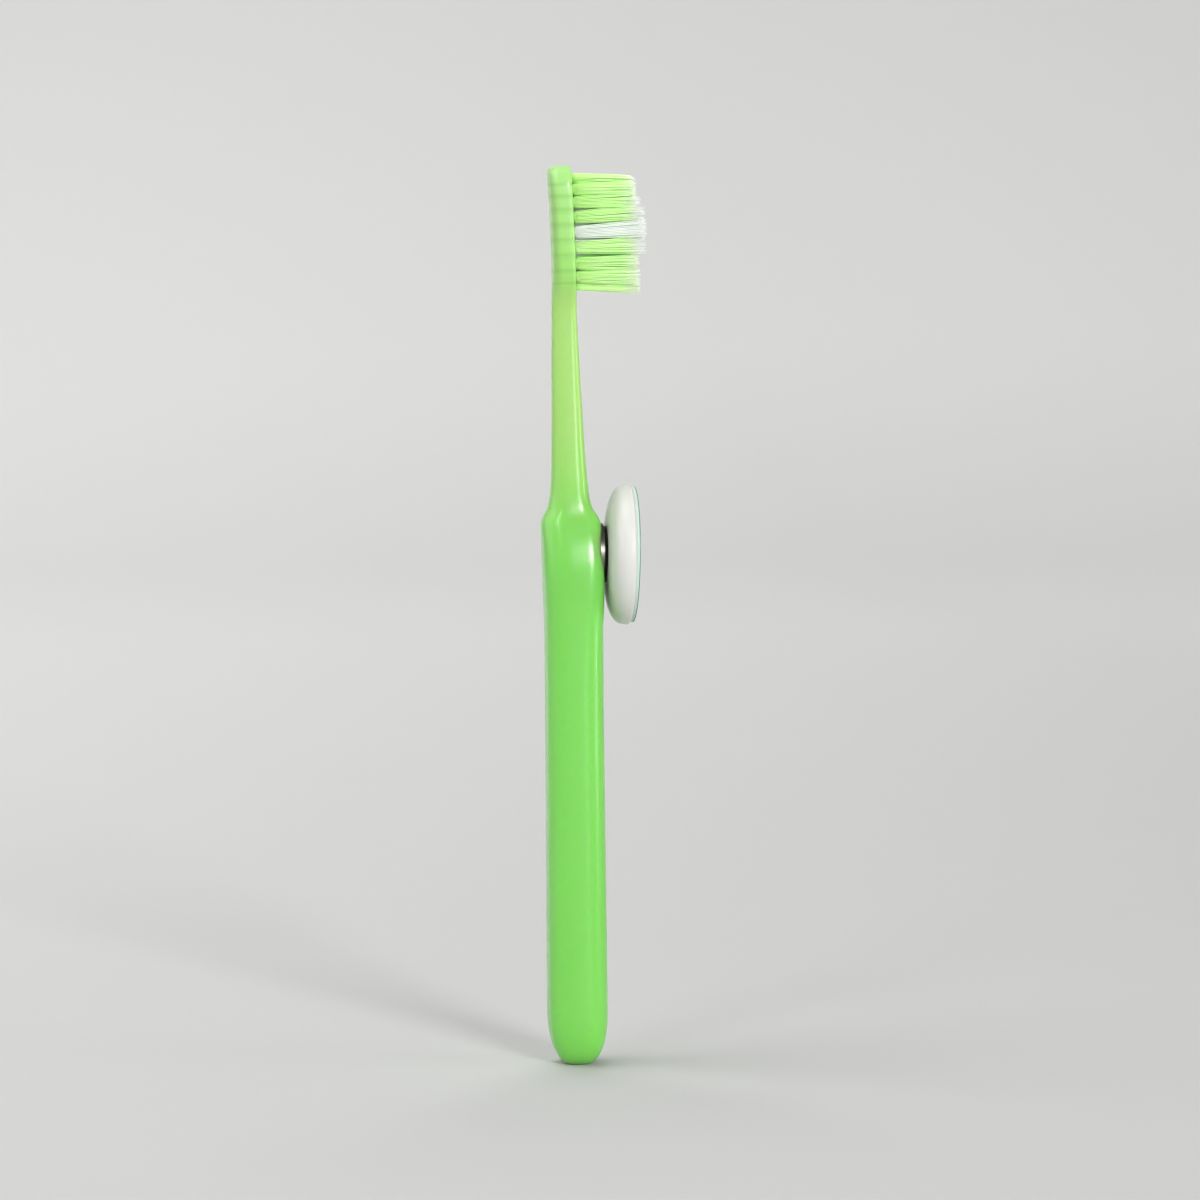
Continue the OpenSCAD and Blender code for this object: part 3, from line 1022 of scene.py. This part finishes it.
def handle_plastic():
    """Clear green plastic, cloudy inside, paler where the handle is thin; painted shade between the head's
    rows.
    """
    material, shader = new_material("translucent green plastic")
    nodes = Nodes(material)
    where = nodes.place()
    stops = [(share, linear(*colour)) for share, colour in HANDLE_COLOUR_SHARES]
    body = nodes.ramp(nodes.along(where, "Z", 0, TOP_Z), stops)
    cloud = nodes.noise(nodes.place((1, 1, 0.35)), scale=0.16, detail=3)
    colour = nodes.blend(nodes.span(cloud, 0, 0.2), body, linear(150, 228, 98))
    # Painted shade: darker green between the rows of holes, as the holes' shade shows faintly through the
    # head
    rows = nodes.ramp(nodes.along(where, "Z", TOP_Z - HEAD_L, TOP_Z), painted_row_shade())
    colour = nodes.blend(rows, colour, linear(128, 186, 90))
    nodes.link(colour, shader.inputs["Base Color"])
    smudge = nodes.noise(where, scale=0.35, detail=5, roughness=0.6)
    nodes.link(nodes.span(smudge, 0.21, 0.27), shader.inputs["Roughness"])
    fine = nodes.noise(where, scale=3, detail=3)
    nodes.link(nodes.bump(fine, strength=0.06, depth=0.01), shader.inputs["Normal"])
    # The light scatters over shorter ways in the thin head, and leaves it before it is lost in the holes
    up_neck = nodes.along(where, "Z", SHOULDER_Z, FOOT_Z)
    scatter = nodes.span(up_neck, GRIP_SCATTER * MM, HEAD_SCATTER * MM)
    nodes.link(scatter, shader.inputs["Subsurface Scale"])
    tune(shader, {
        "IOR": 1.48,
        "Subsurface Weight": 1,
        "Subsurface Radius": (0.55, 1.0, 0.35),
        "Transmission Weight": 0.08,
    })
    return material


def nylon(name, root, middle, tip, height):
    """Fine translucent strands: streaks along them, paler at the tips."""
    material, shader = new_material(name)
    nodes = Nodes(material)
    out = nodes.along(nodes.place(), "X", 0, height)
    root, middle, tip = linear(*root), linear(*middle), linear(*tip)
    body = nodes.ramp(out, [(0.0, root), (0.12, root), (0.45, middle), (0.7, middle), (0.92, tip)])
    streak = nodes.noise(nodes.place((0.12, 4, 4)), scale=1, detail=2)
    nodes.link(nodes.blend(nodes.span(streak, 0, 0.35), body, tip), shader.inputs["Base Color"])
    nodes.link(nodes.span(streak, 0.28, 0.45), shader.inputs["Roughness"])
    fine = nodes.noise(nodes.place((1, 8, 8)), scale=2, detail=2)
    nodes.link(nodes.bump(fine, strength=0.15, depth=0.01), shader.inputs["Normal"])
    tune(shader, {
        "IOR": 1.4,
        "Subsurface Weight": 1,
        "Subsurface Radius": (1, 1, 1),
        "Subsurface Scale": 0.25 * MM,
    })
    return material


def metal(name, colour, worn, roughness, grain):
    """Plated or bare metal: a fine grain in its gloss, and a slight stain in its colour."""
    material, shader = new_material(name)
    nodes = Nodes(material)
    stain = nodes.span(nodes.noise(nodes.place(), scale=0.5, detail=4), 0, 0.5)
    nodes.link(nodes.blend(stain, linear(*colour), linear(*worn)), shader.inputs["Base Color"])
    fine = nodes.noise(nodes.place(), scale=grain, detail=5, roughness=0.6)
    nodes.link(nodes.span(fine, *roughness), shader.inputs["Roughness"])
    nodes.link(nodes.bump(fine, strength=0.1, depth=0.01), shader.inputs["Normal"])
    tune(shader, {"Metallic": 1})
    return material


def coated(name, colour, other, roughness, grain, bump, inputs):
    """Moulded plastic, foam or a coating: mottled a little in colour, gloss and surface."""
    material, shader = new_material(name)
    nodes = Nodes(material)
    mottle = nodes.span(nodes.noise(nodes.place(), scale=0.3, detail=4), 0, 0.6)
    nodes.link(nodes.blend(mottle, linear(*colour), linear(*other)), shader.inputs["Base Color"])
    fine = nodes.noise(nodes.place(), scale=grain, detail=4, roughness=0.55)
    nodes.link(nodes.span(fine, *roughness), shader.inputs["Roughness"])
    nodes.link(nodes.bump(fine, *bump), shader.inputs["Normal"])
    tune(shader, inputs)
    return material


def black_coating():
    return coated(
        "black coating", (10, 13, 8), (18, 22, 15), roughness=(0.45, 0.6), grain=5, bump=(0.12, 0.01),
        inputs={"Specular IOR Level": 0.2})


def gloss_white_plastic():
    return coated(
        "gloss white plastic", (206, 206, 201), (202, 203, 197), roughness=(0.25, 0.35), grain=0.8,
        bump=(0.06, 0.04), inputs={
            "Subsurface Weight": 0.25,
            "Subsurface Radius": (1, 0.95, 0.85),
            "Subsurface Scale": 1.2 * MM,
        })


def satin_white_plastic():
    return coated(
        "satin white plastic", (234, 234, 230), (226, 227, 223), roughness=(0.45, 0.6), grain=5,
        bump=(0.15, 0.02), inputs={})


def mint_foam():
    return coated(
        "mint adhesive foam", (192, 214, 202), (182, 207, 194), roughness=(0.5, 0.7), grain=6,
        bump=(0.4, 0.04), inputs={
            "Subsurface Weight": 0.6,
            "Subsurface Radius": (0.8, 1, 0.9),
            "Subsurface Scale": 0.6 * MM,
        })


def tinted_film():
    return coated(
        "tinted film", (76, 138, 100), (68, 128, 92), roughness=(0.16, 0.3), grain=0.7, bump=(0.1, 0.03),
        inputs={"Transmission Weight": 0.2})


# Pieces

def paint(obj, material):
    obj.data.materials.clear()
    obj.data.materials.append(material)


def add_piece(obj, node, body, material):
    """Gives a finished piece its material and its body, and hides the CAD node that it stands for."""
    paint(obj, material)
    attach(obj, body)
    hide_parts(node)


add_piece(build_handle(), "handle", "brush", handle_plastic())

green_nylon = nylon("green nylon", (182, 254, 124), (203, 254, 158), (230, 252, 205), height=12)
white_nylon = nylon("white nylon", (234, 247, 231), (240, 246, 239), (242, 246, 242), height=14)
for row, shares in GREEN_ROW_SHARES.items():
    tufts = build_tufts(f"green_bristles_row_{row}", row, shares, GREEN_H)
    add_piece(tufts, f"green_tufts_row_{row}", "brush", green_nylon)
for row, shares in WHITE_ROW_SHARES.items():
    length = WHITE_H * WHITE_HEIGHT_SHARES[row] - WHITE_SHORTER
    tufts = build_tufts(f"white_bristles_row_{row}", row, shares, length)
    add_piece(tufts, f"white_tufts_row_{row}", "brush", white_nylon)

brass = metal("stamped brass", (214, 180, 98), (180, 142, 70), roughness=(0.25, 0.42), grain=6)
paint(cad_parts["tuft_anchors"], brass)

# Painted shade: the plated steel is coloured much darker than bright plating, which dims its highlights and
# stands in for the shade in the gap between grip and puck
shaded_nickel = metal("plated steel", (116, 120, 108), (100, 106, 94), roughness=(0.3, 0.4), grain=4)
zinc = metal("zinc plate", (186, 190, 196), (160, 166, 176), roughness=(0.3, 0.5), grain=3)
add_piece(build_disc(), "handle_disc", "brush", shaded_nickel)
add_piece(build_magnet(), "puck_magnet", "magnet", black_coating())
add_piece(build_keeper(), "magnet_keeper", "magnet", zinc)
add_piece(build_shell(), "puck_shell", "puck", gloss_white_plastic())
add_piece(build_plate(), "puck_back_plate", "puck", satin_white_plastic())
add_piece(build_pad(), "adhesive_pad", "puck", mint_foam())
add_piece(build_film(), "release_film", "film", tinted_film())


# Stage and light

def pale(level):
    """A grey from 0 to 255 that is a touch warm."""
    return linear(level, level, level - 1)


def painted_light_stage_paper():
    """Pale paper with painted shade: a little darker to the right, towards the camera and up the wall."""
    material, shader = new_material("pale floor")
    nodes = Nodes(material)
    where = nodes.place()
    across = nodes.along(where, "X", STAGE_LEFT, STAGE_RIGHT)

    def shaded_across(levels):
        left, right = levels
        return nodes.ramp(across, [(0, pale(left)), (1, pale(right))])

    # Painted falloff of the lamps' light across the floor and up the wall
    floor = nodes.blend(nodes.along(where, "Y", 0, FLOOR_FAR), shaded_across(PAINTED_NEAR_FLOOR), shaded_across(PAINTED_FAR_FLOOR))
    up_wall = nodes.along(where, "Z", LOW_WALL_Z, HIGH_WALL_Z)
    wall = nodes.blend(up_wall, shaded_across(PAINTED_LOW_WALL), shaded_across(PAINTED_HIGH_WALL))
    sweep = nodes.blend(nodes.along(where, "Z", 0, SWEEP_TOP), floor, wall)
    mottle = nodes.span(nodes.noise(where, scale=0.01, detail=3), 0, 0.1)
    nodes.link(nodes.blend(mottle, sweep, pale(STAGE_MOTTLE)), shader.inputs["Base Color"])
    tune(shader, {"Roughness": 0.7, "Specular IOR Level": 0.2})
    return material


def add_stage():
    """A pale floor that sweeps up far behind the brush."""
    profile = [(FLOOR_NEAR, 0)]
    for k in range(BEND_STEPS + 1):
        angle = math.radians(90 * k / BEND_STEPS)
        profile.append((BEND_START + BEND_R * math.sin(angle), BEND_R * (1 - math.cos(angle))))
    profile.append((BEND_START + BEND_R, WALL_TOP))
    points = []
    for y, z in profile:
        points += [(x * METRE, y * METRE, z * METRE) for x in (-FLOOR_HALF_W, FLOOR_HALF_W)]
    faces = [(2 * i, 2 * i + 1, 2 * i + 3, 2 * i + 2) for i in range(len(profile) - 1)]
    floor = make_object("pale_floor", points, faces)
    shade(floor, SOFT_ANGLE)
    paint(floor, painted_light_stage_paper())


def add_room():
    """Pale walls all round, brighter on the left, that darken towards the ceiling."""
    world = bpy.data.worlds.new("studio")
    world.use_nodes = True
    nodes = Nodes(world)
    way = nodes.tree.nodes.new("ShaderNodeTexCoord").outputs["Generated"]
    background = nodes.tree.nodes["Background"]
    side = nodes.span(nodes.along(way, "X", -1, 1), ROOM_LEFT, ROOM_RIGHT)
    nodes.link(side, background.inputs["Strength"])
    stops = [(height, (level, level, level, 1)) for height, level in ROOM_SHARES]
    nodes.link(nodes.ramp(nodes.along(way, "Z", 0, 1), stops), background.inputs["Color"])
    scene.world = world


def add_light(name, place, aim, width, height, power):
    data = bpy.data.lights.new(name, "AREA")
    data.shape = "RECTANGLE"
    data.size = width
    data.size_y = height
    data.energy = power
    light = bpy.data.objects.new(name, data)
    scene.collection.objects.link(light)
    light.location = place
    light.rotation_euler = (Vector(place) - Vector(aim)).to_track_quat("Z", "Y").to_euler()
    return light


add_stage()
add_room()
lights = {row[0]: add_light(*row) for row in LIGHTS}
# The backdrop's own light leaves no reflections on the brush
lights["backdrop light"].visible_glossy = False

# Light passes through many strands before it comes out of the bristles again
scene.cycles.max_bounces = 64
scene.cycles.diffuse_bounces = 64
scene.cycles.transmission_bounces = 16

scene.view_settings.view_transform = "Standard"
scene.view_settings.look = "None"
